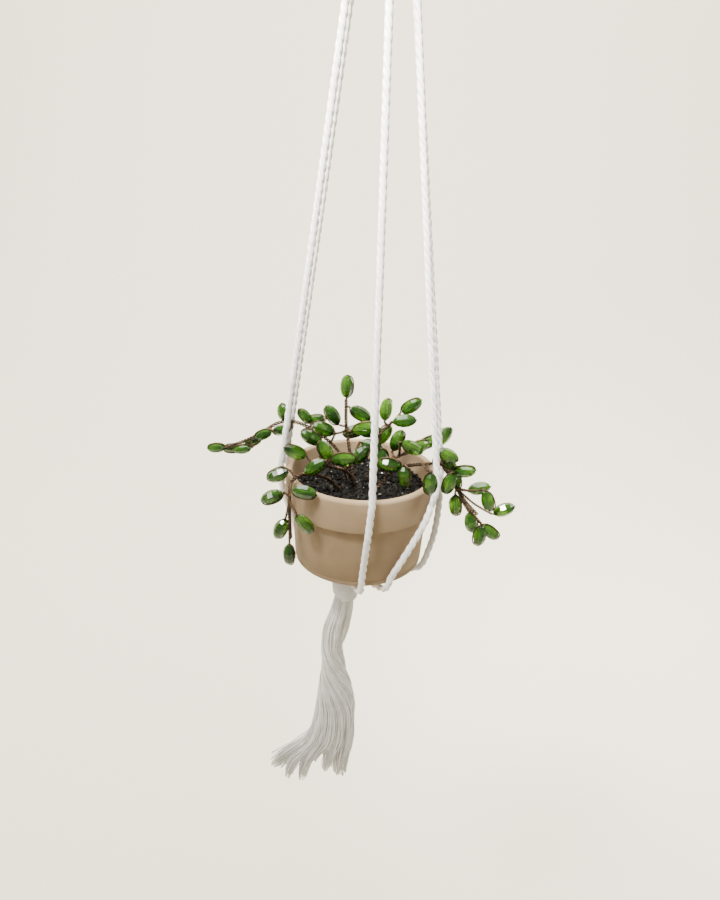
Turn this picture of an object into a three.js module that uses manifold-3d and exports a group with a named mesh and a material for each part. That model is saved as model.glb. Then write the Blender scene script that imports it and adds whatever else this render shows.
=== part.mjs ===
// A small hanging macrame planter: a steel ring, three folded cotton cords tied on it with
// lark's head knots, a terracotta pot cradled by the six cord halves, a gather wrap and a
// tassel under the pot, and a plant of faceted glass beads on twisted bronze wire.
// Millimetres, +Z up. The origin is the point where a hook carries the ring.
import * as THREE from 'three'
import { mergeVertices } from 'three/addons/utils/BufferGeometryUtils.js'
import Module from 'manifold-3d'

const wasm = await Module()
wasm.setup()

// Driving dimensions
const RIM_DROP = 277 // from the hang point down to the pot's rim plane
const RING_RADIUS = 18 // to the middle of the ring's wire
const RING_WIRE = 1.8 // radius of the ring's wire
const RING_YAW = 70 // turn of the ring's plane about the vertical, degrees
const CORD_RADIUS = 1.4
const GAP = 0.3 // between faces that touch on the real object
const REST = CORD_RADIUS + GAP // from a face to the middle of a cord lying on it

const HEAD_WIDTH = 4 * CORD_RADIUS - GAP // two turns of cord side by side
const HEAD_CLEARANCE = 0.9 // a lark's head turns freely on the ring's wire
const HEAD_SHOULDER = 0.7 // how far its ends are rounded down
const HEAD_APART = 0.4 // between neighbouring lark's heads
const HEAD_DROP = 1.2 // from the middle lark's head down to the cord halves' tops

const RIM_RADIUS = 31
const BAND_LOWER_RADIUS = RIM_RADIUS - 0.4
const BAND_HEIGHT = 13.8
const WALL_TOP_RADIUS = RIM_RADIUS - 3
const BASE_RADIUS = RIM_RADIUS - 4.6
const POT_HEIGHT = 40
const MOUTH_RADIUS = RIM_RADIUS - 3
const POT_WALL = 2.7
const FLOOR_THICKNESS = 4
const DRAIN_RADIUS = 4
const LIP_ROUND = 1.4
const SOIL_DEPTH = 7 // from the rim plane down to the soil
const SOIL_CROWN = 0.8

const SLOT_RADIUS = 2 * CORD_RADIUS + 0.6 // circle on which the halves enter the wrap
const WRAP_RADIUS = SLOT_RADIUS + CORD_RADIUS + 0.9
const WRAP_TOP = -POT_HEIGHT - 12
const WRAP_LENGTH = 10
const WRAP_TURNS = 5
const WRAP_X = -4.7
const TASSEL_TOP_RADIUS = 5
const TASSEL_LENGTH = 115 // below the wrap's top

const BEAD_HOLE = 0.6
const STEM_RADIUS = 0.45
const TWIG_RADIUS = 0.22
const PIN_OUT = 0.7 // wire showing past a bead's tip

const COTTON = { color: 0xf1eee6, roughness: 0.95, metalness: 0 }
const STEEL = { color: 0xb9bbbd, roughness: 0.3, metalness: 1 }
const CLAY = { color: 0xb89168, roughness: 0.9, metalness: 0 }
const SOIL = { color: 0x17130f, roughness: 0.6, metalness: 0 }
const GREEN_GLASS = { color: 0x2f7d2a, roughness: 0.1, metalness: 0 }
const BRONZE = { color: 0x4a3020, roughness: 0.4, metalness: 1 }

const radians = (degrees) => (degrees * Math.PI) / 180

// Everything below the ring is placed from the rim plane.
const object = new THREE.Group()
const planter = new THREE.Group()
planter.position.z = -RIM_DROP
object.add(planter)

function addPiece(parent, name, geometry, finish) {
  const piece = new THREE.Mesh(geometry, new THREE.MeshStandardMaterial(finish))
  piece.name = name
  parent.add(piece)
  return piece
}

// A closed body of revolution about +Z, from [radius, height] pairs.
function turned(profile, segments) {
  const points = profile.map(([radius, height]) => new THREE.Vector2(radius, height))
  const geometry = new THREE.LatheGeometry(points, segments)
  geometry.rotateX(Math.PI / 2)
  return geometry
}

// A route whose parameter runs evenly from point to point, so steps gather in the bends.
class Route extends THREE.CatmullRomCurve3 {
  getUtoTmapping(share) {
    return share
  }
}

function tube(points, radius, sides, steps) {
  const section = new THREE.Shape()
  for (let side = 0; side < sides; side++) {
    const angle = (2 * Math.PI * side) / sides
    const place = [radius * Math.cos(angle), radius * Math.sin(angle)]
    if (side === 0) section.moveTo(...place)
    else section.lineTo(...place)
  }
  section.closePath()
  const extrudePath = new Route(points, false, 'centripetal')
  return new THREE.ExtrudeGeometry(section, { steps, extrudePath, curveSegments: 1 })
}

function toSolid(geometry) {
  const bare = geometry.clone()
  bare.deleteAttribute('normal')
  bare.deleteAttribute('uv')
  const merged = mergeVertices(bare, 1e-4)
  const vertProperties = new Float32Array(merged.attributes.position.array)
  const triVerts = new Uint32Array(merged.index.array)
  return new wasm.Manifold(new wasm.Mesh({ numProp: 3, vertProperties, triVerts }))
}

function fromSolid(solid) {
  const { vertProperties, triVerts } = solid.getMesh()
  const geometry = new THREE.BufferGeometry()
  geometry.setAttribute('position', new THREE.BufferAttribute(vertProperties, 3))
  geometry.setIndex(new THREE.BufferAttribute(triVerts, 1))
  geometry.computeVertexNormals()
  return geometry
}

// Hanging ring, its inner top at the origin
const ringCentre = -(RING_RADIUS - RING_WIRE)
const ringSection = []
const RING_SIDES = 8
for (let side = 0; side <= RING_SIDES; side++) {
  const angle = (2 * Math.PI * side) / RING_SIDES
  const radius = RING_RADIUS + RING_WIRE * Math.cos(angle)
  ringSection.push([radius, RING_WIRE * Math.sin(angle)])
}
const ringFrame = new THREE.Group()
ringFrame.position.z = ringCentre
ringFrame.rotation.z = radians(RING_YAW)
object.add(ringFrame)
const ring = addPiece(ringFrame, 'hanging_ring', turned(ringSection, 32), STEEL)
ring.rotation.x = Math.PI / 2

// Lark's heads: a two-turn sleeve of cord round the ring's wire
const headInner = RING_WIRE + HEAD_CLEARANCE
const headOuter = headInner + 2 * CORD_RADIUS - 0.2
const headProfile = [
  [headInner, -HEAD_WIDTH / 2],
  [headOuter - HEAD_SHOULDER, -HEAD_WIDTH / 2],
  [headOuter, -HEAD_WIDTH / 4],
  [headOuter - 0.5, 0],
  [headOuter, HEAD_WIDTH / 4],
  [headOuter - HEAD_SHOULDER, HEAD_WIDTH / 2],
  [headInner, HEAD_WIDTH / 2],
  [headInner, -HEAD_WIDTH / 2],
]
const endRadius = RING_RADIUS - headOuter + HEAD_SHOULDER
const headSpread = 2 * Math.asin((HEAD_WIDTH + HEAD_APART) / 2 / endRadius)
const HEADS = { larks_head_left: -1, larks_head_middle: 0, larks_head_right: 1 }
for (const [name, order] of Object.entries(HEADS)) {
  const angle = order * headSpread
  const head = addPiece(ringFrame, name, turned(headProfile, 14), COTTON)
  head.position.set(RING_RADIUS * Math.sin(angle), 0, -RING_RADIUS * Math.cos(angle))
  head.rotation.y = Math.PI / 2 - angle
}

// Cord halves. head is the lark's head a half leaves and lean its place beside that head's
// middle, in cord radii. rim and base are azimuths in degrees from the front, positive to the
// right, where it meets the rim and turns under, and bow is how far it stands off between them.
const STRAND_TOP = RIM_DROP + ringCentre - RING_RADIUS - headOuter - HEAD_DROP
const STRANDS = {
  strand_left_front: { head: -1, lean: [-0.4, -1.1], rim: -88, base: -112, slot: -80, bow: 0 },
  strand_left_back: { head: -1, lean: [0.4, 1.1], rim: -105, base: -140, slot: -140, bow: 0 },
  strand_middle_front: { head: 0, lean: [0.64, -1.07], rim: 8, base: 4, slot: -20, bow: 0 },
  strand_middle_back: { head: 0, lean: [0.14, 1.07], rim: 170, base: 150, slot: 160, bow: 0 },
  strand_right_front: { head: 1, lean: [0.46, -1.25], rim: 68, base: 26, slot: 40, bow: 0 },
  strand_right_back: { head: 1, lean: [-0.1, 1.1], rim: 93, base: 76, slot: 100, bow: 1.5 },
}
const TAUT_SHARES = [0, 0.17, 0.34, 0.5, 0.67, 0.84, 0.96]
// [radius, height, share of the turn from the rim azimuth to the base azimuth]
const SIDE_ROUTE = [
  [RIM_RADIUS + REST, -1, 0.02],
  [RIM_RADIUS + REST, -BAND_HEIGHT / 2, 0.2],
  [RIM_RADIUS + REST, -BAND_HEIGHT + 0.8, 0.38],
  [BASE_RADIUS + 5, -POT_HEIGHT * 0.5, 0.55],
  [BASE_RADIUS + 3.6, -POT_HEIGHT * 0.7, 0.75],
  [BASE_RADIUS + 2.5, -POT_HEIGHT + 4.5, 0.94],
  [BASE_RADIUS + 2.1, -POT_HEIGHT + 1.2, 0.98],
  [BASE_RADIUS + 0.6, -POT_HEIGHT - 1.6, 1],
]
// [share of the way from the wrap to the base's edge, height above the wrap's top]
const UNDER_ROUTE = [
  [0.88, 8.8],
  [0.75, 8],
  [0.55, 7],
  [0.35, 5.9],
  [0.2, 4.7],
  [0.1, 3.4],
  [0.04, 2.3],
  [0, 1.1],
]

function around(degrees, radius, height) {
  const angle = radians(degrees)
  return new THREE.Vector3(radius * Math.sin(angle), -radius * Math.cos(angle), height)
}

function strandRoute({ head, lean, rim, base, slot, bow }) {
  const along = RING_RADIUS * Math.sin(head * headSpread)
  const start = around(90 + RING_YAW, along, STRAND_TOP)
  start.x += lean[0] * CORD_RADIUS
  start.y += lean[1] * CORD_RADIUS
  const contact = around(rim, SIDE_ROUTE[0][0], SIDE_ROUTE[0][1])
  const points = TAUT_SHARES.map((share) => start.clone().lerp(contact, share))
  for (const [radius, height, share] of SIDE_ROUTE) {
    const down = THREE.MathUtils.clamp((height + BAND_HEIGHT) / (BAND_HEIGHT - POT_HEIGHT), 0, 1)
    const stand = bow * Math.sin(Math.PI * down)
    points.push(around(rim + (base - rim) * share, radius + stand, height))
  }
  const edge = points[points.length - 1]
  const end = around(slot, SLOT_RADIUS, 0)
  end.x += WRAP_X
  for (const [share, height] of UNDER_ROUTE) {
    const point = end.clone().lerp(edge, share)
    point.z = WRAP_TOP + height
    points.push(point)
  }
  return points
}

for (const [name, strand] of Object.entries(STRANDS)) {
  addPiece(planter, name, tube(strandRoute(strand), CORD_RADIUS, 8, 36), COTTON)
}

// Terracotta pot: rolled lip, rim band, tapered wall, drain hole
const wallInnerTop = WALL_TOP_RADIUS - POT_WALL
const wallInnerBase = BASE_RADIUS - POT_WALL
const potProfile = [
  [DRAIN_RADIUS, -POT_HEIGHT],
  [BASE_RADIUS - 1.2, -POT_HEIGHT],
  [BASE_RADIUS, -POT_HEIGHT + 1.2],
  [WALL_TOP_RADIUS, -BAND_HEIGHT],
  [BAND_LOWER_RADIUS, -BAND_HEIGHT],
  [RIM_RADIUS, -LIP_ROUND],
  [RIM_RADIUS - LIP_ROUND * 0.4, -LIP_ROUND * 0.3],
  [RIM_RADIUS - LIP_ROUND, 0],
  [MOUTH_RADIUS + 0.5, 0],
  [MOUTH_RADIUS, -LIP_ROUND * 0.5],
  [wallInnerTop, -BAND_HEIGHT],
  [wallInnerBase, -POT_HEIGHT + FLOOR_THICKNESS],
  [DRAIN_RADIUS, -POT_HEIGHT + FLOOR_THICKNESS],
  [DRAIN_RADIUS, -POT_HEIGHT],
]
const POT_SEGMENTS = 40
addPiece(planter, 'pot', turned(potProfile, POT_SEGMENTS), CLAY)

// Potting soil, clear of the pot by the gap, and of the stems by holes cut below
function mouthRadiusAt(height) {
  const slope = (MOUTH_RADIUS - wallInnerTop) / (BAND_HEIGHT - LIP_ROUND * 0.5)
  return wallInnerTop + slope * (height + BAND_HEIGHT)
}
const soilProfile = [
  [0, -POT_HEIGHT + FLOOR_THICKNESS + GAP],
  [wallInnerBase - GAP, -POT_HEIGHT + FLOOR_THICKNESS + GAP],
  [wallInnerTop - GAP, -BAND_HEIGHT],
  [mouthRadiusAt(-SOIL_DEPTH) - GAP, -SOIL_DEPTH],
  [0, -SOIL_DEPTH + SOIL_CROWN],
]
let soilSolid = toSolid(turned(soilProfile, POT_SEGMENTS))

// Gather wrap: turns of thread bound round the six cord halves
const wrapProfile = [[0, WRAP_TOP - WRAP_LENGTH]]
const turnPitch = WRAP_LENGTH / WRAP_TURNS
for (let turn = 0; turn < WRAP_TURNS; turn++) {
  const height = WRAP_TOP - WRAP_LENGTH + turn * turnPitch
  wrapProfile.push([WRAP_RADIUS - 0.5, height], [WRAP_RADIUS, height + turnPitch / 2])
}
wrapProfile.push([WRAP_RADIUS - 0.5, WRAP_TOP], [0, WRAP_TOP])
addPiece(planter, 'gather_wrap', turned(wrapProfile, 20), COTTON).position.x = WRAP_X

// Tassel: a round top centred on its pivot, then stations down the unravelled cotton
const tasselPivot = WRAP_TOP - WRAP_LENGTH - GAP - TASSEL_TOP_RADIUS - 0.2
// [depth below the wrap's top, centre x, half width, half depth]
const TASSEL_STATIONS = [
  [27, -8.1, 5.8, 5.4],
  [38, -9.8, 5, 5],
  [49, -8.2, 6.4, 5.6],
  [59, -7, 7.6, 6],
  [71, -6.9, 8.2, 6.4],
  [84, -7.9, 9.4, 7],
  [93, -10, 11.6, 7.4],
  [102, -13.5, 14, 7.6],
  [TASSEL_LENGTH, -16.5, 15.5, 7],
]
function tasselGeometry() {
  const rings = []
  for (const tilt of [75, 50, 25, 0]) {
    const radius = TASSEL_TOP_RADIUS * Math.cos(radians(tilt))
    const height = tasselPivot + TASSEL_TOP_RADIUS * Math.sin(radians(tilt))
    rings.push([height, WRAP_X, radius, radius])
  }
  for (const [depth, ...section] of TASSEL_STATIONS) rings.push([WRAP_TOP - depth, ...section])
  const geometry = new THREE.CylinderGeometry(1, 1, 1, 14, rings.length - 1)
  geometry.rotateX(Math.PI / 2)
  const place = geometry.attributes.position
  for (let index = 0; index < place.count; index++) {
    const level = Math.round((0.5 - place.getZ(index)) * (rings.length - 1))
    const [height, centre, halfWidth, halfDepth] = rings[level]
    const x = centre + place.getX(index) * halfWidth
    place.setXYZ(index, x, place.getY(index) * halfDepth, height)
  }
  return geometry
}
addPiece(planter, 'tassel', tasselGeometry(), COTTON)

// Plant. Each sprig is a stem of points and its leaves: [centre, direction, bead length].
// A direction is an angle in the front plane, in degrees from +X towards +Z. Places are for a
// rim radius of PLANT_RIM, and spread out or draw in with the pot's rim.
const PLANT_RIM = 31
const LONG = 8.8
const SHORT = 6.8
const SPRIGS = {
  far_left: {
    stem: [
      [-5, 3, -9], [-10, 3, 6], [-18, 3, 13], [-27, 3, 17.5], [-34, 3, 17], [-42, 0, 12.5],
      [-50, 0, 8.5], [-54.5, 0, 6.8],
    ],
    leaves: [
      [[-59, 0, 5.9], 187, SHORT],
      [[-53.2, 2.7, 5.2], 183, SHORT],
      [[-48, -2.7, 7.2], 190, SHORT],
      [[-44.6, 2.7, 8.7], 205, SHORT],
      [[-39.6, -2.7, 13.7], 205, SHORT],
      [[-33.2, 3, 13.9], 195, SHORT],
      [[-32.6, 3, 21.6], 100, SHORT],
      [[-23.6, 3, 20.6], 130, SHORT],
    ],
  },
  top: {
    stem: [
      [-3, 4, -9], [-5, 5, 4], [-7, 6, 16], [-7.4, 6, 26.5],
    ],
    leaves: [
      [[-7.4, 6, 32.7], 90, LONG],
      [[-12.7, 8, 19.5], 125, LONG],
      [[-1.3, 5, 21.8], 330, LONG],
    ],
  },
  right_top: {
    stem: [
      [2, 3, -9], [5, 4, 4], [7.5, 5, 14], [10, 5, 17],
    ],
    leaves: [
      [[8.8, 5, 24], 85, LONG],
      [[19, 5, 25.8], 35, LONG],
      [[16.4, 1.7, 20.8], 8, LONG],
    ],
  },
  right_low: {
    stem: [
      [3, -1, -9], [9, -1, 3], [15, -1, 6.5],
    ],
    leaves: [
      [[13.8, 0, 12.9], 70, LONG],
      [[22.5, 0, 10.5], 25, LONG],
    ],
  },
  front: {
    stem: [
      [-2, -4, -9], [-5, -6, 0], [-13, -8, 4], [-20, -9, 6],
    ],
    leaves: [
      [[-26.5, -9, 9.5], 160, LONG],
      [[-14.5, -8, 10.5], 120, LONG],
      [[-0.9, -8, 9.4], 50, LONG],
    ],
  },
  right_over: {
    stem: [
      [5, -4, -9], [14, -6, 3], [24, -7, 6], [32.5, -4, 4.5], [38.5, -3, -5], [43.5, -3, -12],
      [48.5, -4, -17],
    ],
    leaves: [
      [[33.9, -7, 10.4], 335, LONG],
      [[41.2, -5, 2.9], 5, LONG],
      [[35.3, -9, -1], 255, LONG],
      [[38.8, -6, -12.2], 275, LONG],
      [[48.6, -1, -6.4], 15, LONG],
      [[51.6, -7.5, -8.8], 290, LONG],
      [[59.2, -4, -14.2], 25, LONG],
      [[46.2, -4.2, -20.8], 285, LONG],
      [[49.6, -9.6, -23.8], 265, LONG],
      [[54.6, -4, -24.8], 320, LONG],
    ],
  },
  left_hanging: {
    stem: [
      [-7, -6, -9], [-14, -11, 0], [-23, -16, 3.5], [-26.7, -18, 1], [-27.5, -19, -10],
      [-27, -18, -24],
    ],
    leaves: [
      [[-32.6, -14, 1.8], 208, LONG],
      [[-34.7, -16, -6.8], 205, LONG],
      [[-21, -28, 2], 350, LONG],
      [[-31.2, -17, -20.5], 248, LONG],
      [[-20.6, -27.5, -12], 310, LONG],
      [[-27.5, -18, -31.5], 270, LONG],
    ],
  },
}

function beadGeometry(length) {
  const half = length / 2
  const waist = length * 0.3
  const profile = [
    [BEAD_HOLE, -half],
    [waist, -length * 0.17],
    [waist, length * 0.17],
    [BEAD_HOLE, half],
    [BEAD_HOLE, -half],
  ]
  return turned(profile, 8)
}

const spread = RIM_RADIUS / PLANT_RIM
const toVector = ([x, y, z]) => new THREE.Vector3(x * spread, y * spread, z)

function nearestOnStem(stem, place) {
  const points = new Route(stem, false, 'centripetal').getPoints(stem.length * 6)
  return points.reduce((best, p) => (p.distanceTo(place) < best.distanceTo(place) ? p : best))
}

for (const [name, sprig] of Object.entries(SPRIGS)) {
  const stem = sprig.stem.map(toVector)
  let wire = toSolid(tube(stem, STEM_RADIUS, 5, (stem.length - 1) * 2))
  const foot = stem[0].clone().addScaledVector(stem[1].clone().sub(stem[0]).normalize(), -GAP)
  const socket = tube([foot, ...stem], STEM_RADIUS + GAP + 0.1, 5, stem.length * 2)
  soilSolid = soilSolid.subtract(toSolid(socket))
  sprig.leaves.forEach(([place, degrees, length], index) => {
    const centre = toVector(place)
    const angle = radians(degrees)
    const along = new THREE.Vector3(Math.cos(angle), 0, Math.sin(angle))
    const neck = centre.clone().addScaledVector(along, -(length / 2 + 0.8))
    const tip = centre.clone().addScaledVector(along, length / 2 + PIN_OUT)
    const joint = nearestOnStem(stem, neck)
    const overlap = neck.clone().addScaledVector(along, 0.3)
    wire = wire.add(toSolid(tube([joint, overlap], TWIG_RADIUS, 5, 1)))
    wire = wire.add(toSolid(tube([neck, tip], TWIG_RADIUS, 5, 1)))
    const bead = addPiece(planter, `bead_${name}_${index + 1}`, beadGeometry(length), GREEN_GLASS)
    bead.position.copy(centre)
    bead.rotation.y = Math.PI / 2 - angle
  })
  addPiece(planter, `wire_${name}`, fromSolid(wire), BRONZE)
}

addPiece(planter, 'soil', fromSolid(soilSolid), SOIL)

export default object
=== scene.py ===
"""A small hanging macrame planter: cotton cords, terracotta pot, glass-bead plant, tassel."""
import math
import random

import bmesh
import bpy
from mathutils import Matrix, Vector


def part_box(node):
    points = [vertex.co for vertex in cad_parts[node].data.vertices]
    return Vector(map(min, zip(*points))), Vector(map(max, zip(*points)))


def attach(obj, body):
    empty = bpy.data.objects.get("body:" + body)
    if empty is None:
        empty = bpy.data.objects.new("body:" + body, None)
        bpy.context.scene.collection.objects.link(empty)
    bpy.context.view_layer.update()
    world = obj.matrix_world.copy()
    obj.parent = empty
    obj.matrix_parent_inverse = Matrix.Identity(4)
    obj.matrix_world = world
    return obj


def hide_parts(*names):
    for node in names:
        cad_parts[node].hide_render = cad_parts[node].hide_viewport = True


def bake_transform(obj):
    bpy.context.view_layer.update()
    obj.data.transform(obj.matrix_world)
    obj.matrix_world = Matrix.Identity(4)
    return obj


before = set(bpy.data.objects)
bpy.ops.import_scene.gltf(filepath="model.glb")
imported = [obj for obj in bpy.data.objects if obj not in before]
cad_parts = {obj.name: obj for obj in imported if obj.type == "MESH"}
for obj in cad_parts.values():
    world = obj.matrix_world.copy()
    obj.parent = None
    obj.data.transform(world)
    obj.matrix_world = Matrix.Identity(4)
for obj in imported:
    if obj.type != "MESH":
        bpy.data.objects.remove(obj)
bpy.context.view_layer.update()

MM = 0.001


def box_mm(node):
    low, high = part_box(node)
    return low / MM, high / MM


ring_low, ring_high = box_mm("hanging_ring")
pot_low, pot_high = box_mm("pot")
wrap_low, wrap_high = box_mm("gather_wrap")

# Millimetres, the same driving sizes as the CAD
RING_WIRE = ring_high.z / 2  # the ring's inner top is the origin
RING_RADIUS = (ring_high.z - ring_low.z) / 2 - RING_WIRE
RING_YAW = 70  # turn of the ring's plane about the vertical, degrees
CORD_RADIUS = 1.4
CORD_PITCH = 11.0  # length of one full turn of the three plies
GAP = 0.3  # between faces that touch on the real object
REST = CORD_RADIUS + GAP  # from a face to the middle of a cord lying on it
HEAD_WIDTH = 4 * CORD_RADIUS - GAP  # two turns of cord side by side
HEAD_CLEARANCE = 0.9  # a lark's head turns freely on the ring's wire
HEAD_SHOULDER = 0.7  # how far its ends are rounded down
HEAD_OUTER = RING_WIRE + HEAD_CLEARANCE + 2 * CORD_RADIUS - 0.2
HEAD_APART = 0.4  # between neighbouring lark's heads
HEAD_DROP = 1.2  # from the middle lark's head down to the cord halves' tops
HEAD_SPREAD = 2 * math.asin((HEAD_WIDTH + HEAD_APART) / 2 / (RING_RADIUS - HEAD_OUTER + HEAD_SHOULDER))
RIM_Z = pot_high.z  # every height below is measured from the pot's rim plane
RIM_RADIUS = pot_high.y
POT_HEIGHT = pot_high.z - pot_low.z
BAND_HEIGHT = 13.8
BAND_LOWER_RADIUS = RIM_RADIUS - 0.4
WALL_TOP_RADIUS = RIM_RADIUS - 3
BASE_RADIUS = RIM_RADIUS - 4.6
MOUTH_RADIUS = RIM_RADIUS - 3
FLOOR_THICKNESS = 4
DRAIN_RADIUS = 4
SOIL_DEPTH = 7
WRAP_X = (wrap_low.x + wrap_high.x) / 2
WRAP_TOP = wrap_high.z - RIM_Z
WRAP_LENGTH = wrap_high.z - wrap_low.z
SLOT_RADIUS = 2 * CORD_RADIUS + 0.6  # circle on which the halves enter the wrap
rng = random.Random(7)


def place(point):
    """A point in millimetres from the rim's centre, as metres in the object's frame."""
    x, y, z = point
    return Vector((x, y, z + RIM_Z)) * MM


# ---------------------------------------------------------------- camera
PITCH, ROLL = 23.8, 2.6
CAMERA_AT = (-0.9, -295.7, 138.3)
LENS, SENSOR = 32, 36
camera_data = bpy.data.cameras.new("camera")
camera_data.lens = LENS
camera_data.sensor_width = SENSOR
camera_data.clip_start = 0.01
camera = bpy.data.objects.new("camera", camera_data)
bpy.context.scene.collection.objects.link(camera)
camera.matrix_world = (
    Matrix.Translation(place(CAMERA_AT))
    @ Matrix.Rotation(math.radians(90 - PITCH), 4, "X")
    @ Matrix.Rotation(math.radians(ROLL), 4, "Z")
)
bpy.context.scene.camera = camera


# ---------------------------------------------------------------- materials
def material(name, color, roughness, **sockets):
    made = bpy.data.materials.new(name)
    made.use_nodes = True
    shader = made.node_tree.nodes["Principled BSDF"]
    shader.inputs["Base Color"].default_value = (*color, 1)
    shader.inputs["Roughness"].default_value = roughness
    for socket, value in sockets.items():
        shader.inputs[socket.replace("_", " ")].default_value = value
    return made, made.node_tree, shader


def noise(tree, scale, detail, source="Object", stretch=(1, 1, 1)):
    coordinates = tree.nodes.new("ShaderNodeTexCoord")
    mapping = tree.nodes.new("ShaderNodeMapping")
    mapping.inputs["Scale"].default_value = stretch
    texture = tree.nodes.new("ShaderNodeTexNoise")
    texture.inputs["Scale"].default_value = scale
    texture.inputs["Detail"].default_value = detail
    tree.links.new(coordinates.outputs[source], mapping.inputs["Vector"])
    tree.links.new(mapping.outputs["Vector"], texture.inputs["Vector"])
    return texture


def tint(tree, shader, texture, stops):
    """Base colour from a texture, by (position, colour) stops."""
    ramp = tree.nodes.new("ShaderNodeValToRGB")
    ramp.color_ramp.elements[0].position = stops[0][0]
    ramp.color_ramp.elements[0].color = (*stops[0][1], 1)
    ramp.color_ramp.elements[1].position = stops[-1][0]
    ramp.color_ramp.elements[1].color = (*stops[-1][1], 1)
    for position, color in stops[1:-1]:
        ramp.color_ramp.elements.new(position).color = (*color, 1)
    tree.links.new(texture.outputs["Fac"], ramp.inputs["Fac"])
    tree.links.new(ramp.outputs["Color"], shader.inputs["Base Color"])


def bump(tree, shader, layers):
    """Stack (texture, strength, distance) layers of bump onto a shader."""
    last = None
    for texture, strength, distance in layers:
        node = tree.nodes.new("ShaderNodeBump")
        node.inputs["Strength"].default_value = strength
        node.inputs["Distance"].default_value = distance
        tree.links.new(texture.outputs["Fac"], node.inputs["Height"])
        if last:
            tree.links.new(last.outputs["Normal"], node.inputs["Normal"])
        last = node
    tree.links.new(last.outputs["Normal"], shader.inputs["Normal"])


def cotton_material():
    made, tree, shader = material("cotton", (0.8, 0.79, 0.76), 0.92, Sheen_Weight=0.2)
    fibres = noise(tree, 5, 5, "UV", (9, 1.5, 1))
    patches = noise(tree, 160, 3)
    tint(tree, shader, patches, [(0.3, (0.74, 0.725, 0.685)), (0.7, (0.88, 0.87, 0.84))])
    bump(tree, shader, [(fibres, 0.6, 0.0003), (patches, 0.2, 0.0002)])
    return made


def clay_material():
    made, tree, shader = material("terracotta", (0.5, 0.34, 0.21), 0.88)
    broad = noise(tree, 38, 5)
    grain = noise(tree, 1400, 3)
    smears = noise(tree, 90, 4, stretch=(1, 1, 0.25))
    stops = [(0.3, (0.21, 0.143, 0.077)), (0.52, (0.265, 0.184, 0.102)), (0.75, (0.32, 0.228, 0.132))]
    tint(tree, shader, broad, stops)
    bump(tree, shader, [(grain, 0.35, 0.00012), (smears, 0.12, 0.0003)])
    return made


def soil_material():
    made, tree, shader = material("soil", (0.01, 0.009, 0.008), 0.6, Specular_IOR_Level=0.12)
    shades = noise(tree, 900, 2)
    tint(tree, shader, shades, [(0.4, (0.0015, 0.0015, 0.0012)), (0.75, (0.012, 0.011, 0.009))])
    bump(tree, shader, [(noise(tree, 3000, 3), 0.5, 0.0001)])
    return made


def glint_material():
    made, tree, shader = material("soil_glint", (0.02, 0.02, 0.02), 0.12)
    tint(tree, shader, noise(tree, 700, 2), [(0.4, (0.01, 0.01, 0.01)), (0.7, (0.2, 0.19, 0.17))])
    return made


def glass_material():
    optics = dict(Transmission_Weight=0.6, IOR=1.58, Specular_IOR_Level=0.3)
    made, tree, shader = material("green_glass", (0.08, 0.4, 0.05), 0.05, **optics)
    shades = noise(tree, 130, 2)
    stops = [(0.3, (0.004, 0.022, 0.001)), (0.5, (0.03, 0.105, 0.006)), (0.72, (0.12, 0.27, 0.022))]
    tint(tree, shader, shades, stops)
    return made


def wire_material():
    made, tree, shader = material("bronze_wire", (0.07, 0.04, 0.02), 0.42, Metallic=0.8)
    tarnish = noise(tree, 500, 3)
    tint(tree, shader, tarnish, [(0.35, (0.022, 0.013, 0.008)), (0.75, (0.15, 0.09, 0.045))])
    return made


def steel_material():
    made, tree, shader = material("ring_steel", (0.66, 0.66, 0.67), 0.27, Metallic=1.0)
    bump(tree, shader, [(noise(tree, 700, 4, stretch=(1, 1, 6)), 0.15, 0.0001)])
    return made


COTTON = cotton_material()
CLAY = clay_material()
SOIL = soil_material()
GLINT = glint_material()
GLASS = glass_material()
WIRE = wire_material()
STEEL = steel_material()


# ---------------------------------------------------------------- meshes
def add_object(name, vertices, faces, finish, smooth=True, uvs=None):
    mesh = bpy.data.meshes.new(name)
    mesh.from_pydata([tuple(v) for v in vertices], [], faces)
    mesh.materials.append(finish)
    mesh.polygons.foreach_set("use_smooth", [smooth] * len(mesh.polygons))
    if uvs:
        layer = mesh.uv_layers.new(name="UVMap")
        for loop in mesh.loops:
            layer.data[loop.index].uv = uvs[loop.vertex_index]
    mesh.update()
    made = bpy.data.objects.new(name, mesh)
    bpy.context.scene.collection.objects.link(made)
    return made


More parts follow.
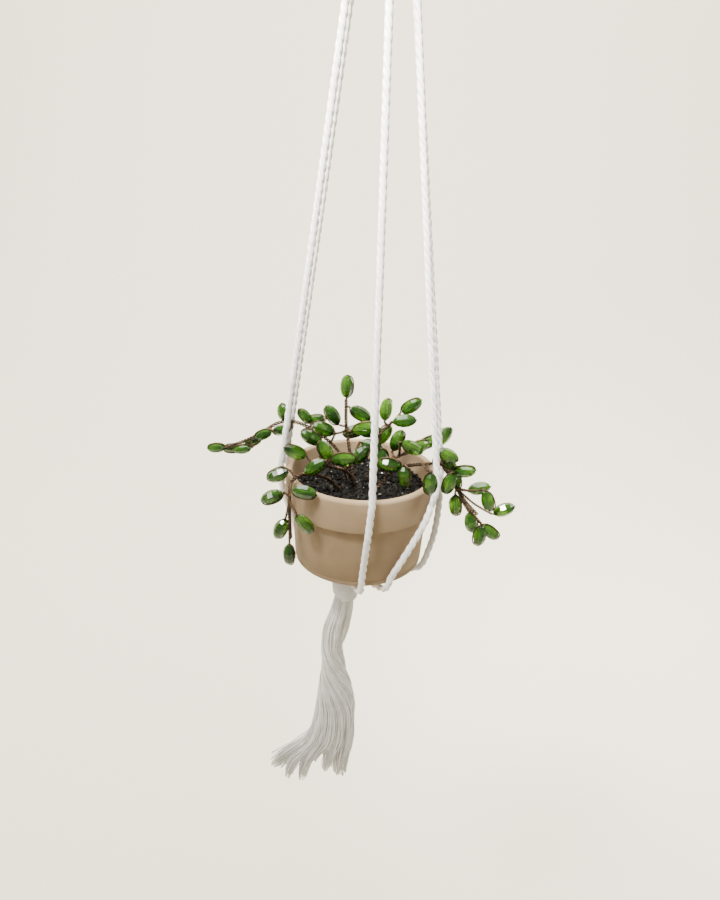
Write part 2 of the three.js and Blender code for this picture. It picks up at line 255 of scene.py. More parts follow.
def smooth_path(points, spacing):
    """Centripetal Catmull-Rom through the points, resampled at an even spacing."""
    points = [Vector(p) for p in points]
    ends = [points[0] * 2 - points[1]] + points + [points[-1] * 2 - points[-2]]
    dense = []
    for i in range(1, len(ends) - 2):
        p0, p1, p2, p3 = ends[i - 1 : i + 3]
        t1 = math.sqrt((p1 - p0).length)
        t2 = t1 + math.sqrt((p2 - p1).length)
        t3 = t2 + math.sqrt((p3 - p2).length)
        count = max(4, int((p2 - p1).length / spacing) * 2)
        for k in range(count):
            t = t1 + (t2 - t1) * k / count
            a1 = p0 * ((t1 - t) / t1) + p1 * (t / t1)
            a2 = p1 * ((t2 - t) / (t2 - t1)) + p2 * ((t - t1) / (t2 - t1))
            a3 = p2 * ((t3 - t) / (t3 - t2)) + p3 * ((t - t2) / (t3 - t2))
            b1 = a1 * ((t2 - t) / t2) + a2 * (t / t2)
            b2 = a2 * ((t3 - t) / (t3 - t1)) + a3 * ((t - t1) / (t3 - t1))
            dense.append(b1 * ((t2 - t) / (t2 - t1)) + b2 * ((t - t1) / (t2 - t1)))
    dense.append(points[-1])
    total = sum((b - a).length for a, b in zip(dense, dense[1:]))
    step = total / max(2, round(total / spacing))
    even, carried = [dense[0]], 0.0
    for a, b in zip(dense, dense[1:]):
        length = (b - a).length
        while carried + length >= step and length > 0:
            share = (step - carried) / length
            a = a.lerp(b, share)
            even.append(a.copy())
            length = (b - a).length
            carried = 0.0
        carried += length
    if (even[-1] - dense[-1]).length > step * 0.3:
        even.append(dense[-1])
    return even


def frames(path):
    """Tangent and two turning-free normals at each point of a path."""
    tangents = []
    for i in range(len(path)):
        ahead = path[min(i + 1, len(path) - 1)]
        tangents.append((ahead - path[max(i - 1, 0)]).normalized())
    helper = Vector((0, 1, 0)) if abs(tangents[0].y) < 0.9 else Vector((1, 0, 0))
    normal = (helper - tangents[0] * helper.dot(tangents[0])).normalized()
    result = []
    for tangent in tangents:
        normal = (normal - tangent * normal.dot(tangent)).normalized()
        result.append((tangent, normal, tangent.cross(normal)))
    return result


UV_LENGTH = 10 * MM  # of tube to one unit of its UV map


class Bundle:
    """Collects tubes into one mesh. Paths are in metres."""

    def __init__(self):
        self.vertices, self.faces, self.uvs = [], [], []

    def tube(self, path, outline, sides, twist=0.0, taper=None):
        """outline(angle) is the radius, twist is radians per metre and taper scales by share."""
        start, travelled = len(self.vertices), 0.0
        for i, (point, (_, n, b)) in enumerate(zip(path, frames(path))):
            if i:
                travelled += (point - path[i - 1]).length
            scale = taper(i / (len(path) - 1)) if taper else 1.0
            for k in range(sides):
                angle = 2 * math.pi * k / sides
                turned = angle + twist * travelled
                radius = outline(angle) * scale
                self.vertices.append(point + (n * math.cos(turned) + b * math.sin(turned)) * radius)
                self.uvs.append((k / sides, travelled / UV_LENGTH))
        for i in range(len(path) - 1):
            for k in range(sides):
                a, c = start + i * sides + k, start + i * sides + (k + 1) % sides
                self.faces.append((a, c, c + sides, a + sides))
        last = start + (len(path) - 1) * sides
        self.faces.append(tuple(range(start + sides - 1, start - 1, -1)))
        self.faces.append(tuple(range(last, last + sides)))

    def finish(self, name, finish):
        return add_object(name, self.vertices, self.faces, finish, uvs=self.uvs)


PLY_SHARE = 0.57  # a ply's radius as a share of the cord's


def three_ply(radius):
    """The outline of three round plies laid together, metres."""
    ply, offset = radius * PLY_SHARE, radius * (1 - PLY_SHARE)

    def outline(angle):
        lobe = (angle + math.pi / 3) % (2 * math.pi / 3) - math.pi / 3
        return offset * math.cos(lobe) + math.sqrt(ply**2 - (offset * math.sin(lobe)) ** 2)

    return outline


def cord_tube(bundle, path, radius=CORD_RADIUS):
    bundle.tube(path, three_ply(radius * MM), 24, -2 * math.pi / (CORD_PITCH * MM))


# ---------------------------------------------------------------- cord halves
RING_CENTRE = Vector((0, 0, RING_WIRE - RING_RADIUS))
STRAND_TOP = RING_CENTRE.z - RING_RADIUS - HEAD_OUTER - HEAD_DROP - RIM_Z
# lark's head along the ring, lean at its top in cord radii, azimuths at the rim, at the base's
# edge and in the wrap in degrees from the front, and how far it bows off the wall
STRANDS = {
    "strand_left_front": dict(head=-1, lean=(-0.4, -1.1), rim=-88, base=-112, slot=-80, bow=0),
    "strand_left_back": dict(head=-1, lean=(0.4, 1.1), rim=-105, base=-140, slot=-140, bow=0),
    "strand_middle_front": dict(head=0, lean=(0.64, -1.07), rim=8, base=4, slot=-20, bow=0),
    "strand_middle_back": dict(head=0, lean=(0.14, 1.07), rim=170, base=150, slot=160, bow=0),
    "strand_right_front": dict(head=1, lean=(0.46, -1.25), rim=68, base=26, slot=40, bow=0),
    "strand_right_back": dict(head=1, lean=(-0.1, 1.1), rim=93, base=76, slot=100, bow=1.5),
}
# shares of the straight run from the lark's head down to the rim
TAUT_SHARES = [0, 0.17, 0.34, 0.5, 0.67, 0.84, 0.96]
# radius, height, share of the turn from the rim azimuth to the base azimuth
SIDE_ROUTE = [
    (RIM_RADIUS + REST, -1, 0.02),
    (RIM_RADIUS + REST, -BAND_HEIGHT / 2, 0.2),
    (RIM_RADIUS + REST, -BAND_HEIGHT + 0.8, 0.38),
    (BASE_RADIUS + 5, -POT_HEIGHT * 0.5, 0.55),
    (BASE_RADIUS + 3.6, -POT_HEIGHT * 0.7, 0.75),
    (BASE_RADIUS + 2.5, -POT_HEIGHT + 4.5, 0.94),
    (BASE_RADIUS + 2.1, -POT_HEIGHT + 1.2, 0.98),
    (BASE_RADIUS + 0.6, -POT_HEIGHT - 1.6, 1),
]
# share of the way from the wrap to the base's edge, height above the wrap's top
UNDER_ROUTE = [
    (0.88, 8.8), (0.75, 8), (0.55, 7), (0.35, 5.9), (0.2, 4.7), (0.1, 3.4), (0.04, 2.3), (0, 1.1),
]


def around(degrees, radius, height):
    """A point about the rim's axis, its azimuth taken from the front towards +X."""
    angle = math.radians(degrees)
    return Vector((radius * math.sin(angle), -radius * math.cos(angle), height))


def strand_start(head, lean):
    """Top of a cord half, under its lark's head."""
    middle = around(90 + RING_YAW, RING_RADIUS * math.sin(head * HEAD_SPREAD), STRAND_TOP)
    return middle + Vector((*lean, 0)) * CORD_RADIUS


def strand_route(head, lean, rim, base, slot, bow):
    start = strand_start(head, lean)
    contact = around(rim, *SIDE_ROUTE[0][:2])
    points = [start.lerp(contact, share) for share in TAUT_SHARES]
    for radius, height, share in SIDE_ROUTE:
        down = max(0, min(1, (height + BAND_HEIGHT) / (BAND_HEIGHT - POT_HEIGHT)))
        stand = bow * math.sin(math.pi * down)
        points.append(around(rim + (base - rim) * share, radius + stand, height))
    edge = points[-1]
    end = around(slot, SLOT_RADIUS, 0) + Vector((WRAP_X, 0, 0))
    for share, height in UNDER_ROUTE:
        point = end.lerp(edge, share)
        point.z = WRAP_TOP + height
        points.append(point)
    return points


FIBRES, FIBRE_REACH, FIBRE_RADIUS = 110, 0.8, 0.028


def fuzz(bundle, path):
    """Stray fibres standing off a cord's surface."""
    for _ in range(FIBRES):
        i = rng.randrange(1, len(path) - 1)
        tangent = (path[i + 1] - path[i - 1]).normalized()
        out = Vector((rng.gauss(0, 1), rng.gauss(0, 1), rng.gauss(0, 1)))
        out = (out - tangent * out.dot(tangent)).normalized()
        root = path[i] + out * (CORD_RADIUS * 0.8 * MM)
        lean = tangent * rng.uniform(-1.5, 1.5) * MM
        tip = root + out * rng.uniform(0.3, FIBRE_REACH) * MM + lean
        middle = root.lerp(tip, 0.5) + out * 0.15 * MM
        bundle.tube([root, middle, tip], lambda _: FIBRE_RADIUS * MM, 3)


def make_strands():
    for name, strand in STRANDS.items():
        path = smooth_path([place(p) for p in strand_route(**strand)], 0.6 * MM)
        bundle = Bundle()
        cord_tube(bundle, path)
        cord = bundle.finish(name + "_cord", COTTON)
        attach(cord, "hanger")
        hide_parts(name)
        hairs = Bundle()
        fuzz(hairs, path)
        stray = hairs.finish(name + "_fuzz", COTTON)
        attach(stray, "hanger")


make_strands()


# ---------------------------------------------------------------- ring and lark's heads
WELD_AT, WELD_WIDTH, WELD_RISE = 0.5, 0.05, 0.09  # radians round the ring, share of the wire
RING_INSIDE = 0.99  # keeps the wire just inside the CAD's


def make_ring():
    turn = Matrix.Rotation(math.radians(RING_YAW), 3, "Z")
    vertices, faces = [], []
    steps, sides = 120, 20
    for i in range(steps):
        angle = 2 * math.pi * i / steps
        weld = 1 + WELD_RISE * math.exp(-((angle - WELD_AT) / WELD_WIDTH) ** 2)
        radius = RING_WIRE * weld * RING_INSIDE
        out = Vector((math.cos(angle), 0, math.sin(angle)))
        for k in range(sides):
            around_wire = 2 * math.pi * k / sides
            point = out * (RING_RADIUS + radius * math.cos(around_wire))
            point += Vector((0, radius * math.sin(around_wire), 0))
            vertices.append((turn @ point + RING_CENTRE) * MM)
    for i in range(steps):
        for k in range(sides):
            a, b = i * sides, ((i + 1) % steps) * sides
            n = (k + 1) % sides
            faces.append((a + k, a + n, b + n, b + k))
    ring = add_object("steel_ring", vertices, faces, STEEL)
    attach(ring, "ring")
    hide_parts("hanging_ring")


HEAD_CORD_RADIUS = 1.28  # the knot pulls the cord a little thinner
HEAD_SIDE = 1.32  # each turn's distance from the knot's middle
HEAD_REACH = 4.1  # the turns' distance from the middle of the ring's wire
# One half of the knot: share of HEAD_SIDE, distance down and distance through the ring
HEAD_HALF = [
    (1, 3.6, -1.9), (1, 0, -HEAD_REACH), (1, -HEAD_REACH, 0), (1, 0, HEAD_REACH), (0.8, 3.0, 2.6),
]
HEAD_BIGHT = (0, 4.0, 2.2)  # the fold that joins the two halves
HEAD_TUCK = 0.8  # how far each end runs on into its cord half


def make_larks_head(name, order, ends):
    """One folded cord round the ring: up, over, down behind and out under its own fold."""
    angle = order * HEAD_SPREAD
    turn = Matrix.Rotation(math.radians(RING_YAW), 3, "Z")
    along = turn @ Vector((math.cos(angle), 0, math.sin(angle)))
    down = turn @ Vector((math.sin(angle), 0, -math.cos(angle)))
    through = down.cross(along)
    centre = RING_CENTRE + down * RING_RADIUS
    local = [(-s * HEAD_SIDE, d, n) for s, d, n in HEAD_HALF] + [HEAD_BIGHT]
    local += [(s * HEAD_SIDE, d, n) for s, d, n in reversed(HEAD_HALF)]
    points = [(centre + along * a + down * d + through * n) * MM for a, d, n in local]
    tops = [strand_start(order, STRANDS[end]["lean"]) for end in ends]
    first, last = (place(top - Vector((0, 0, HEAD_TUCK))) for top in tops)
    bundle = Bundle()
    cord_tube(bundle, smooth_path([first] + points + [last], 0.5 * MM), HEAD_CORD_RADIUS)
    head = bundle.finish(name + "_cord", COTTON)
    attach(head, "hanger")
    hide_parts(name)


make_ring()
make_larks_head("larks_head_left", -1, ("strand_left_front", "strand_left_back"))
make_larks_head("larks_head_middle", 0, ("strand_middle_front", "strand_middle_back"))
make_larks_head("larks_head_right", 1, ("strand_right_front", "strand_right_back"))


# ---------------------------------------------------------------- pot and soil
def revolve(name, profile, segments, finish, wobble=0.0):
    """A closed (radius, height) profile turned about the rim's axis."""
    vertices, faces, count = [], [], len(profile)
    for i in range(segments):
        angle = 2 * math.pi * i / segments
        swell = 1 + wobble * math.sin(3 * angle + 0.7)
        for radius, height in profile:
            r = radius * swell
            vertices.append(place((r * math.cos(angle), r * math.sin(angle), height)))
    for i in range(segments):
        a, b = i * count, ((i + 1) % segments) * count
        for k in range(count):
            n = (k + 1) % count
            faces.append((a + k, b + k, b + n, a + n))
    return add_object(name, vertices, faces, finish)


def arc(centre_r, centre_z, radius, start, stop, steps=6):
    """Points of a rounded edge on a profile, angles in degrees."""
    result = []
    for i in range(steps + 1):
        angle = math.radians(start + (stop - start) * i / steps)
        result.append((centre_r + radius * math.cos(angle), centre_z + radius * math.sin(angle)))
    return result


BASE_ROUND, BAND_ROUND, LIP_ROUND, MOUTH_ROUND = 1.0, 0.65, 1.4, 1.0
POT_WOBBLE = 0.0012  # the thrown wall's swell, as a share of its radius
# outwards and upwards from the base's edge: a worn groove, then the wall's slight belly
WALL_OUTLINE = [(0.15, 2), (-0.04, 2.25), (-0.04, 2.45), (0.22, 2.7), (0.8, 13), (1.3, 22)]
# outwards and upwards from the wall's top, in under the band
BAND_TUCK = [(-0.1, -1.4), (-0.1, -0.7), (0.2, -0.3), (0.8, 0)]


def make_pot():
    base, band = -POT_HEIGHT, -BAND_HEIGHT
    floor = base + FLOOR_THICKNESS
    profile = [(DRAIN_RADIUS, base), (2 * DRAIN_RADIUS, base)]
    profile += arc(BASE_RADIUS - BASE_ROUND, base + BASE_ROUND, BASE_ROUND, -90, -10)
    profile += [(BASE_RADIUS + out, base + up) for out, up in WALL_OUTLINE]
    profile += [(WALL_TOP_RADIUS + out, band + up) for out, up in BAND_TUCK]
    profile += arc(BAND_LOWER_RADIUS - 0.6, band + 0.7, BAND_ROUND, -90, 0)
    profile += [(RIM_RADIUS - 0.25, -9), (RIM_RADIUS - 0.1, -5)]
    profile += arc(RIM_RADIUS - LIP_ROUND, -LIP_ROUND, LIP_ROUND, 0, 90)
    profile += arc(MOUTH_RADIUS + MOUTH_ROUND, -MOUTH_ROUND, MOUTH_ROUND, 90, 180)
    profile += [(MOUTH_RADIUS - 0.4, -4), (WALL_TOP_RADIUS - 2.6, band)]
    profile += [(BASE_RADIUS - 2.2, floor + 6), (BASE_RADIUS - 2.7, floor), (DRAIN_RADIUS, floor)]
    pot = revolve("clay_pot", profile, 160, CLAY, POT_WOBBLE)
    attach(pot, "hanger")
    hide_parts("pot")


def grain_shape():
    source = bmesh.new()
    bmesh.ops.create_icosphere(source, subdivisions=1, radius=1)
    points = [v.co.copy() for v in source.verts]
    faces = [tuple(v.index for v in f.verts) for f in source.faces]
    source.free()
    return points, faces


GRAINS, GLINT_EVERY = 2600, 16
SOIL_EDGE = MOUTH_RADIUS - 1.9
AXIS = 0.01  # as near the axis as a profile may come without doubled points
DISH_DEPTH, DISH_RADIUS = 0.4, 26  # the grains lie lower towards the wall


def make_soil():
    underside = -POT_HEIGHT + FLOOR_THICKNESS + 1
    top = [(AXIS, 0.3), (8, 0.2), (16, -0.2), (24, -0.4), (SOIL_EDGE, -0.5)]
    bed = [(radius, rise - SOIL_DEPTH) for radius, rise in top]
    bed += [(SOIL_EDGE - 1.1, -2 * SOIL_DEPTH), (SOIL_EDGE - 3.1, underside), (AXIS, underside)]
    soil = revolve("soil_bed", bed, 72, SOIL)
    dull, shiny = ([], []), ([], [])
    shape, shape_faces = grain_shape()
    for number in range(GRAINS):
        vertices, faces = shiny if number % GLINT_EVERY == 0 else dull
        radius = (SOIL_EDGE - 0.4) * math.sqrt(rng.random())
        angle = rng.uniform(0, 2 * math.pi)
        size = rng.uniform(0.25, 0.75) if rng.random() < 0.85 else rng.uniform(0.7, 1.15)
        height = -SOIL_DEPTH - DISH_DEPTH * (radius / DISH_RADIUS) ** 2 + rng.uniform(-0.3, 0.7)
        centre = Vector((radius * math.cos(angle), radius * math.sin(angle), height))
        turn = Matrix.Rotation(rng.uniform(0, 6.3), 3, Vector((rng.random(), rng.random(), 0.3)))
        start = len(vertices)
        for point in shape:
            q = turn @ Vector((point.x, point.y * 0.8, point.z * 0.6))
            vertices.append(place(centre + q * size * rng.uniform(0.8, 1.1)))
        faces += [tuple(start + i for i in face) for face in shape_faces]
    grains = add_object("soil_grains", *dull, SOIL, smooth=False)
    glints = add_object("soil_glints", *shiny, GLINT, smooth=False)
    for piece in (soil, grains, glints):
        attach(piece, "hanger")
    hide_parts("soil")


make_pot()
make_soil()


# ---------------------------------------------------------------- gather wrap and tassel
WRAP_LOOPS = 64
WRAP_CORE = 4.3  # radius of the gathered halves inside
LOOP_RADIUS, LOOP_SWELL = 4.75, 0.55  # of the loops at its ends, and how much fuller its middle is
WRAP_SLANT = 0.24  # rise across the wrap


def make_wrap():
    """A slanting band of soft yarn wound round the six halves, fuller at its middle."""
    bundle = Bundle()
    core = [place((WRAP_X, 0, WRAP_TOP + 1.5)), place((WRAP_X, 0, WRAP_TOP - WRAP_LENGTH - 0.6))]
    bundle.tube(core, lambda _: WRAP_CORE * MM, 24)
    for loop in range(WRAP_LOOPS):
        share = (loop + 0.5) / WRAP_LOOPS
        slant = WRAP_SLANT + rng.uniform(-0.07, 0.07)
        radius = LOOP_RADIUS + LOOP_SWELL * math.sin(math.pi * share) + rng.uniform(-0.12, 0.12)
        height = WRAP_TOP - 1.3 - (WRAP_LENGTH - 2.2) * share
        phase = rng.uniform(0, 6.3)
        points = []
        for i in range(33):
            angle = math.pi / 2 + 2 * math.pi * i / 32
            x, y = radius * math.cos(angle), radius * math.sin(angle)
            rise = -slant * x + 0.16 * math.sin(3 * angle + phase)
            points.append(place((WRAP_X + x, y, height + rise)))
        thick = rng.uniform(0.24, 0.4) * MM
        bundle.tube(points, lambda _, r=thick: r, 6)
    wrap = bundle.finish("gather_wrap_cord", COTTON)
    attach(wrap, "hanger")
    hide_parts("gather_wrap")


# The tassel's outline: depth below the wrap's top, centre x, half width, half depth
TASSEL = [
    (9, -5.0, 3.7, 3.6), (17, -5.8, 4.6, 4.4), (27, -8.1, 5.6, 5.2), (38, -9.8, 4.8, 4.8),
    (49, -8.2, 6.0, 5.2), (59, -7, 7.2, 5.6), (71, -6.9, 7.8, 6.0), (84, -7.9, 9.0, 6.4),
    (93, -10, 11.0, 6.8), (102, -13.5, 13.4, 7.0), (114, -16.5, 15.0, 6.6),
]


def tassel_at(depth):
    """Centre x, half width and half depth of the tassel at a depth."""
    for (d0, *above), (d1, *below) in zip(TASSEL, TASSEL[1:]):
        if depth <= d1:
            share = max(0, (depth - d0) / (d1 - d0))
            return [a + (b - a) * share for a, b in zip(above, below)]
    return TASSEL[-1][1:]


# Locks of the skirt: place across it and through it from -1 to 1, tip x, tip depth
LOCKS = [
    (-0.85, -0.2, -35.5, 111), (-0.7, 0.4, -32.5, 113), (-0.6, -0.5, -28.5, 116.5),
    (-0.45, 0.5, -25.5, 111), (-0.3, -0.6, -21.5, 117.5), (-0.15, 0.6, -19, 109),
    (0, -0.65, -15.5, 105), (0.12, 0.2, -12.5, 103), (0.4, -0.55, -10.5, 111),
    (0.5, 0.5, -8, 112), (0.7, -0.3, -5, 114), (0.85, 0.2, -2.5, 116.5),
]
LOCK_RADIUS = 0.3  # share of the tassel's half width that one lock fills
FORK_SPREAD = 1.35  # between the three forks of a lock's tip
SKIRT_START, LOCK_START = 9.5, 89  # depths where the yarns begin and where they part into locks
TWIST_START, TWIST_END, TWIST = 27, 77, 2.3  # depths, and the bundle's turn in radians
YARNS, YARN_STEPS = 780, 34
CORE_DEPTHS = range(10, 94, 3)  # of a plain core behind the yarns
BLEND_END = 30  # depth where a blend span below the wrap ends; the span's end points are not used
TIP_START = 0.86  # share of a yarn's length from which it thins out


def eased(share):
    share = max(0, min(1, share))
    return share * share * (3 - 2 * share)


def yarn_point(across, through, lock, fork, depth, end):
    """Where a yarn runs: turned with the bundle, then drawn into one fork of its lock's tip."""
    share, _, tip_x, _ = lock
    centre, half_width, half_depth = tassel_at(depth)
    turn = TWIST * (eased((depth - TWIST_START) / (TWIST_END - TWIST_START)) - 1)
    a = across * math.cos(turn) - through * math.sin(turn)
    b = across * math.sin(turn) + through * math.cos(turn)
    x, y = centre + a * half_width, b * half_depth
    if depth > LOCK_START:
        drawn = min(1, (depth - LOCK_START) / (end - LOCK_START)) ** 1.5
        x += drawn * (tip_x + fork * FORK_SPREAD + (across - share) * 1.8 - x)
        y += drawn * (through * 2.6 + fork - y) * 0.8
    return x, y


def thinned(share, tip):
    """A yarn's thickness along it: full, then down to its tip's share."""
    return 1 - (1 - tip) * max(0, share - TIP_START) / (1 - TIP_START)


def make_tassel():
    bundle = Bundle()
    core = [place((tassel_at(depth)[0], 0, WRAP_TOP - depth)) for depth in CORE_DEPTHS]
    bundle.tube(core, lambda _: MM, 16, taper=lambda share: 2.9 + 2.6 * share**1.4)
    for number in range(YARNS):
        lock = LOCKS[number % len(LOCKS)]
        fork = rng.choice((-1, 0, 1))
        spot, angle = LOCK_RADIUS * math.sqrt(rng.random()), rng.uniform(0, 2 * math.pi)
        own_twist = rng.uniform(0.8, 1.6)
        end = lock[3] - abs(fork) * 1.6 - 9 * rng.random() ** 3
        phase, kink, wave = rng.uniform(0, 6.3), rng.uniform(0.03, 0.2), rng.uniform(9, 20)
        points = []
        for i in range(YARN_STEPS + 1):
            depth = SKIRT_START + (end - SKIRT_START) * i / YARN_STEPS
            turned = angle + own_twist * depth / 40
            across = lock[0] + spot * math.cos(turned)
            through = lock[1] + spot * math.sin(turned)
            x, y = yarn_point(across, through, lock, fork, depth, end)
            loose = kink * min(1, i / 8)
            x += loose * math.sin(depth / wave * 6 + phase)
            y += loose * math.cos(depth / wave * 6 + phase)
            points.append(place((x, y, WRAP_TOP - depth)))
        thick, tip = rng.uniform(0.22, 0.38) * MM, rng.uniform(0.2, 0.6)
        path = smooth_path(points, 2.4 * MM)
        bundle.tube(path, lambda _, r=thick: r, 5, taper=lambda s, t=tip: thinned(s, t))
    tassel = bundle.finish("tassel_yarns", COTTON)
    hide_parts("tassel")
    blend = (WRAP_LENGTH - 0.5, BLEND_END)
    start, end = (place((WRAP_X, 0, WRAP_TOP - depth)) for depth in blend)
    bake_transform(tassel)


make_wrap()
make_tassel()


# ---------------------------------------------------------------- plant
LONG, SHORT = 8.8, 6.8  # the two bead lengths
# Each sprig: stem points, the leaves that are CAD solids, then leaves made only here.
# A leaf is centre, direction in the front plane in degrees from +X towards +Z, bead length.
SPRIGS = {
    "far_left": dict(
        stem=[
            (-5, 3, -9), (-10, 3, 6), (-18, 3, 13), (-27, 3, 17.5), (-34, 3, 17), (-42, 0, 12.5),
            (-50, 0, 8.5), (-54.5, 0, 6.8),
        ],
        leaves=[
            ((-59, 0, 5.9), 187, SHORT), ((-53.2, 2.7, 5.2), 183, SHORT),
            ((-48, -2.7, 7.2), 190, SHORT), ((-44.6, 2.7, 8.7), 205, SHORT),
            ((-39.6, -2.7, 13.7), 205, SHORT), ((-33.2, 3, 13.9), 195, SHORT),
            ((-32.6, 3, 21.6), 100, SHORT), ((-23.6, 3, 20.6), 130, SHORT),
        ],
        more=[
            ((-19.5, 7, 17.5), 190, SHORT), ((-16.5, 9, 12.5), 165, LONG),
        ],
    ),
    "top": dict(
        stem=[
            (-3, 4, -9), (-5, 5, 4), (-7, 6, 16), (-7.4, 6, 26.5),
        ],
        leaves=[
            ((-7.4, 6, 32.7), 90, LONG), ((-12.7, 8, 19.5), 125, LONG), ((-1.3, 5, 21.8), 330, LONG),
        ],
        more=[
            ((0.5, 2, 16.5), 15, LONG), ((-16, 2, 15.5), 160, LONG), ((-4, 10, 12), 200, LONG),
            ((3, 9, 12.5), 10, LONG),
        ],
    ),
    "right_top": dict(
        stem=[
            (2, 3, -9), (5, 4, 4), (7.5, 5, 14), (10, 5, 17),
        ],
        leaves=[
            ((8.8, 5, 24), 85, LONG), ((19, 5, 25.8), 35, LONG), ((16.4, 1.7, 20.8), 8, LONG),
        ],
        more=[
            ((9, 10, 11), 60, LONG),
        ],
    ),
    "right_low": dict(
        stem=[
            (3, -1, -9), (9, -1, 3), (15, -1, 6.5),
        ],
        leaves=[
            ((13.8, 0, 12.9), 70, LONG), ((22.5, 0, 10.5), 25, LONG),
        ],
        more=[
            ((8, -6, 7), 100, LONG), ((11, -11, 7), 350, LONG), ((19.5, -7, 13), 335, LONG),
            ((27, 6, 10), 30, LONG),
        ],
    ),
    "front": dict(
        stem=[
            (-2, -4, -9), (-5, -6, 0), (-13, -8, 4), (-20, -9, 6),
        ],
        leaves=[
            ((-26.5, -9, 9.5), 160, LONG), ((-14.5, -8, 10.5), 120, LONG), ((-0.9, -8, 9.4), 50, LONG),
        ],
        more=[
            ((-18, -16, 7), 215, LONG), ((-20.5, -5, 14.5), 150, LONG), ((-7, -12, 9), 5, LONG),
            ((4, -4, 11.5), 340, LONG),
        ],
    ),
    "right_over": dict(
        stem=[
            (5, -4, -9), (14, -6, 3), (24, -7, 6), (32.5, -4, 4.5), (38.5, -3, -5), (43.5, -3, -12),
            (48.5, -4, -17),
        ],
        leaves=[
            ((33.9, -7, 10.4), 335, LONG), ((41.2, -5, 2.9), 5, LONG), ((35.3, -9, -1), 255, LONG),
            ((38.8, -6, -12.2), 275, LONG), ((48.6, -1, -6.4), 15, LONG),
            ((51.6, -7.5, -8.8), 290, LONG), ((59.2, -4, -14.2), 25, LONG),
            ((46.2, -4.2, -20.8), 285, LONG), ((49.6, -9.6, -23.8), 265, LONG),
            ((54.6, -4, -24.8), 320, LONG),
        ],
        more=[
            ((26.5, -22, 4.8), 270, LONG), ((17, -14, 3.6), 275, LONG),
            ((35.6, -2, 3.6), 300, LONG), ((38.2, -2, -2.2), 285, LONG), ((33, 6, 13), 60, LONG),
        ],
    ),
    "left_hanging": dict(
        stem=[
            (-7, -6, -9), (-14, -11, 0), (-23, -16, 3.5), (-26.7, -18, 1), (-27.5, -19, -10),
            (-27, -18, -24),
        ],
        leaves=[
            ((-32.6, -14, 1.8), 208, LONG), ((-34.7, -16, -6.8), 205, LONG), ((-21, -28, 2), 350, LONG),
            ((-31.2, -17, -20.5), 248, LONG), ((-20.6, -27.5, -12), 310, LONG),
            ((-27.5, -18, -31.5), 270, LONG),
        ],
        more=[],
    ),
}
BEAD_WAIST = 0.305  # radius as a share of the length
BEAD_HOLE = 0.5
BEAD_SIDES = 8
NECK, TIP = 0.9, 0.35  # wire showing past a bead's near and far ends
SOIL_CLEAR = -6  # twigs leave a stem only above this height
# share of the half length, share of the waist radius: long cut faces meeting at a flat waist
BEAD_RINGS = [(-1, 0.38), (-0.7, 0.78), (-0.24, 1), (0.24, 1), (0.7, 0.78), (1, 0.38)]


def make_bead(name, centre, along, length):
    """A faceted oval bead: rows of cut faces along it, with its hole through."""
    half, waist = length / 2, length * BEAD_WAIST
    side = along.cross(Vector((0, 1, 0))).normalized()
    other = along.cross(side)
    spin = rng.uniform(0, 2 * math.pi / BEAD_SIDES)
    vertices, faces = [], []
    for reach, share in BEAD_RINGS:
        for k in range(BEAD_SIDES):
            angle = spin + 2 * math.pi * k / BEAD_SIDES
            out = side * math.cos(angle) + other * math.sin(angle)
            vertices.append(place(centre + along * half * reach + out * waist * share))
    n = BEAD_SIDES
    for row in range(len(BEAD_RINGS) - 1):
        for k in range(n):
            a, b = row * n + k, row * n + (k + 1) % n
            c, d = (row + 1) * n + k, (row + 1) * n + (k + 1) % n
            faces.append((a, c, d, b))
    hole = len(vertices)
    for reach in (-0.99, 0.99):
        for k in range(n):
            angle = spin + 2 * math.pi * k / n
            out = side * math.cos(angle) + other * math.sin(angle)
            vertices.append(place(centre + along * half * reach + out * BEAD_HOLE))
    last = (len(BEAD_RINGS) - 1) * n
    for k in range(n):
        j = (k + 1) % n
        faces += [(k, j, hole + j, hole + k), (last + j, last + k, hole + n + k, hole + n + j)]
        faces.append((hole + k, hole + j, hole + n + j, hole + n + k))
    bead = add_object(name, vertices, faces, GLASS, smooth=False)
    mesh = bmesh.new()
    mesh.from_mesh(bead.data)
    bmesh.ops.recalc_face_normals(mesh, faces=mesh.faces)
    mesh.to_mesh(bead.data)
    mesh.free()
    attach(bead, "hanger")
    return bead


def twisted_pair(bundle, path, lay=0.34, pitch=2.1, wire=0.27):
    """Two wires laid round each other along a path."""
    for start in (0, math.pi):
        points, travelled = [], 0.0
        for i, (point, (_, n, b)) in enumerate(zip(path, frames(path))):
            if i:
                travelled += (point - path[i - 1]).length
            angle = start + 2 * math.pi * travelled / (pitch * MM)
            points.append(point + (n * math.cos(angle) + b * math.sin(angle)) * lay * MM)
        bundle.tube(points, lambda _: wire * MM, 6)


def bead_wire(bundle, joint, centre, along, length, side):
    """Twisted twig, wire through the bead, and the loop back outside it."""
    neck = centre - along * (length / 2 + NECK)
    tip = centre + along * (length / 2 + TIP)
    bend = joint.lerp(neck, 0.5) - Vector((0, 0, 0.06)) * (joint - neck).length
    twisted_pair(bundle, smooth_path([place(joint), place(bend), place(neck)], 0.35 * MM))
    through = smooth_path([place(neck), place(centre), place(tip)], 0.6 * MM)
    bundle.tube(through, lambda _: 0.19 * MM, 6)
    waist = length * BEAD_WAIST + 0.12
    loop = [tip, centre + along * length * 0.42 + side * waist * 0.72, centre + side * waist]
    loop += [centre - along * length * 0.38 + side * waist * 0.78, neck]
    bundle.tube(smooth_path([place(p) for p in loop], 0.5 * MM), lambda _: 0.3 * MM, 6)


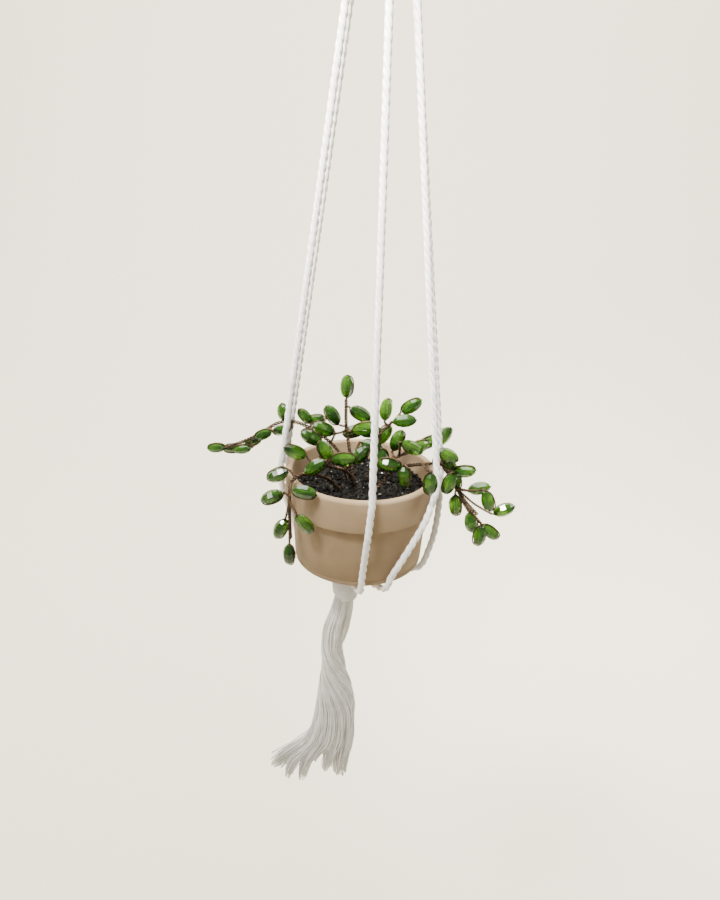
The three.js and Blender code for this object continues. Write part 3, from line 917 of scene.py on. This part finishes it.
def make_sprig(name, stem, leaves, more):
    """A twisted stem with its beads, each on a twig from the nearest point of the stem."""
    bundle = Bundle()
    stem_path = smooth_path([place(p) for p in stem], 0.35 * MM)
    twisted_pair(bundle, stem_path, 0.48, 2.6, 0.36)
    points = [Vector(p) / MM - Vector((0, 0, RIM_Z)) for p in stem_path]
    usable = [p for p in points if p.z > SOIL_CLEAR]
    for index, (centre, degrees, length) in enumerate(leaves + more):
        angle = math.radians(degrees)
        along, centre = Vector((math.cos(angle), 0, math.sin(angle))), Vector(centre)
        bead = make_bead(f"leaf_{name}_{index + 1}", centre, along, length)
        if index < len(leaves):
            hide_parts(f"bead_{name}_{index + 1}")
        neck = centre - along * (length / 2 + NECK)
        joint = min(usable, key=lambda p: (p - neck).length)
        side = Vector((-along.z, rng.uniform(-0.9, 0.3), along.x)) * (1 if index % 2 else -1)
        side = (side - along * side.dot(along)).normalized()
        bead_wire(bundle, joint, centre, along, length, side)
    wire = bundle.finish(f"wire_{name}_twist", WIRE)
    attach(wire, "hanger")
    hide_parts(f"wire_{name}")


for sprig_name, sprig in SPRIGS.items():
    make_sprig(sprig_name, **sprig)


# ---------------------------------------------------------------- floor and light
def make_stage():
    """A floor that curves up into a backdrop, metres."""
    front_y, backdrop_y, floor_z, top_z = -12.0, 1.6, -0.75, 5.0
    half_width, bend, steps = 9.0, 0.8, 16
    rows = [(front_y, floor_z), (backdrop_y - bend, floor_z)]
    for i in range(1, steps + 1):
        angle = math.pi / 2 * i / steps
        forward, up = bend * math.sin(angle), bend * (1 - math.cos(angle))
        rows.append((backdrop_y - bend + forward, floor_z + up))
    rows.append((backdrop_y, top_z))
    vertices = [(x, y, z) for y, z in rows for x in (-half_width, half_width)]
    faces = [(2 * i, 2 * i + 1, 2 * i + 3, 2 * i + 2) for i in range(len(rows) - 1)]
    pale, _, _ = material("pale_floor", (0.9, 0.84, 0.69), 0.95)
    floor = add_object("pale_floor", vertices, faces, pale)


def area_light(name, location, target, size, power, color, spread=180):
    """A square lamp in metres and watts; a narrow spread makes a soft-edged beam."""
    data = bpy.data.lights.new(name, "AREA")
    data.spread = math.radians(spread)
    data.energy, data.size, data.color = power, size, color
    light = bpy.data.objects.new(name, data)
    bpy.context.scene.collection.objects.link(light)
    light.location = location
    aim = Vector(target) - Vector(location)
    light.rotation_euler = aim.to_track_quat("-Z", "Y").to_euler()


def make_light():
    middle = place((0, 0, 0))
    area_light("backdrop", (0, 0.5, 1.3), (0, 1.25, 0.64), 2.0, 150, (1, 0.985, 0.95))
    area_light("upper", (-0.16, -0.22, 0.16), (0, 0, -0.075), 0.12, 1.9, (1, 0.98, 0.95), 46)
    area_light("key", (-0.9, -0.7, 0.65), middle, 0.4, 9, (1, 0.97, 0.92))
    world = bpy.data.worlds.new("studio")
    world.use_nodes = True
    background = world.node_tree.nodes["Background"]
    background.inputs["Color"].default_value = (1, 0.985, 0.96, 1)
    background.inputs["Strength"].default_value = 0.45
    bpy.context.scene.world = world


make_stage()
make_light()
